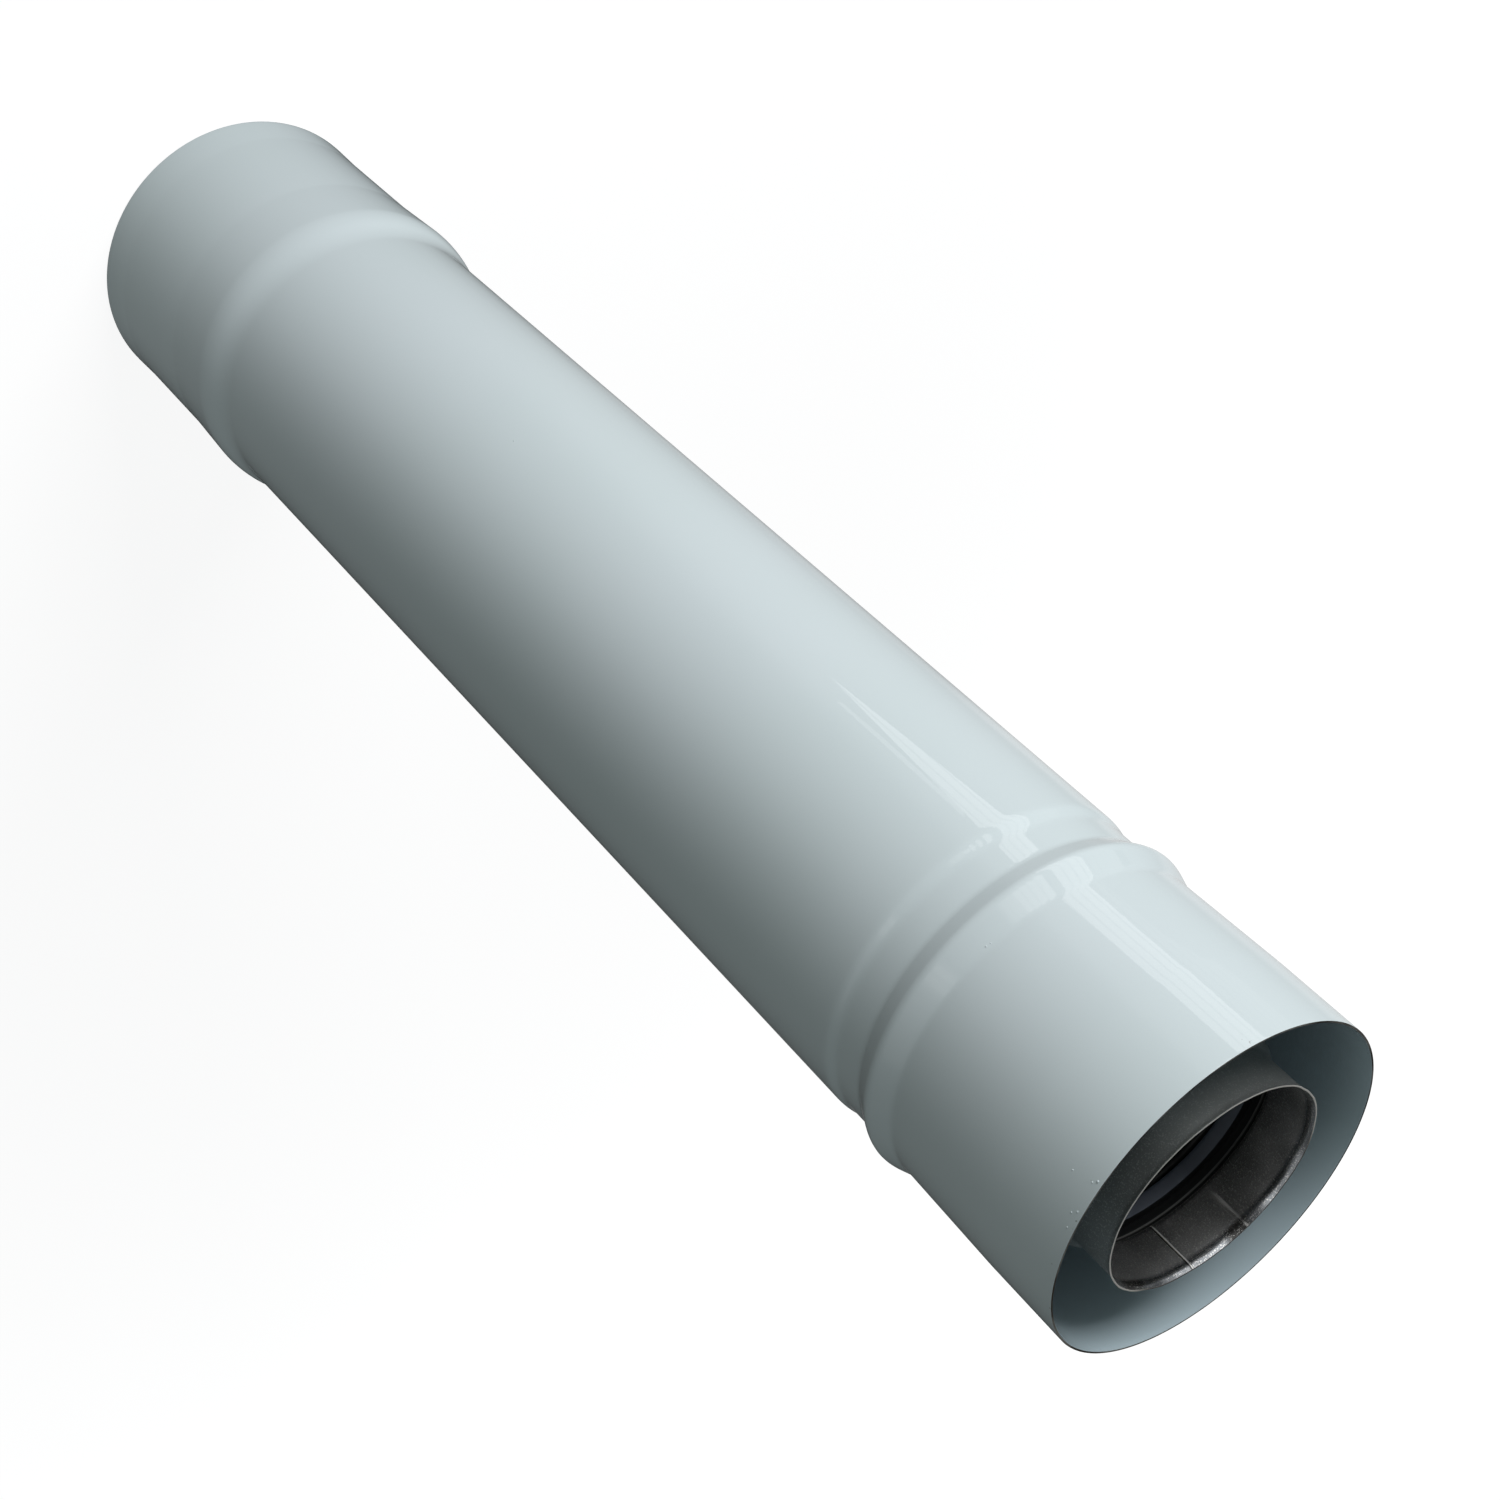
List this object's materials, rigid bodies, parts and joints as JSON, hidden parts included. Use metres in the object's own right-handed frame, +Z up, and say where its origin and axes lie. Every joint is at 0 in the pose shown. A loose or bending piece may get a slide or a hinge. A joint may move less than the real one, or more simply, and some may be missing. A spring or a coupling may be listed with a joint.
{
  "type": "flue pipe",
  "caption": "Straight coaxial flue pipe: painted steel air pipe with spigot, stop bead and socket, holding a bare steel flue pipe with a lip seal in its mouth.",
  "frame": {"origin": "on the pipe's axis, at the rim of the socket that it stands on", "axes": "+Z up along the pipe, from the socket end to the spigot end"},
  "size_m": [0.106, 0.1062, 0.514],
  "materials": {
    "air_pipe_paint": "gloss stove enamel, off-white",
    "flue_steel": "dull rolled steel with a welded seam",
    "seal_rubber": "matt grey rubber",
    "clip_steel": "bright spring strip"
  },
  "bodies": {
    "root": {"air_pipe": "air_pipe_paint", "flue_pipe": "flue_steel", "seal_ring": "seal_rubber", "centring_clip_near_1": "clip_steel", "centring_clip_near_2": "clip_steel", "centring_clip_near_3": "clip_steel", "centring_clip_far_1": "clip_steel", "centring_clip_far_2": "clip_steel", "centring_clip_far_3": "clip_steel"}
  },
  "joints": []
}
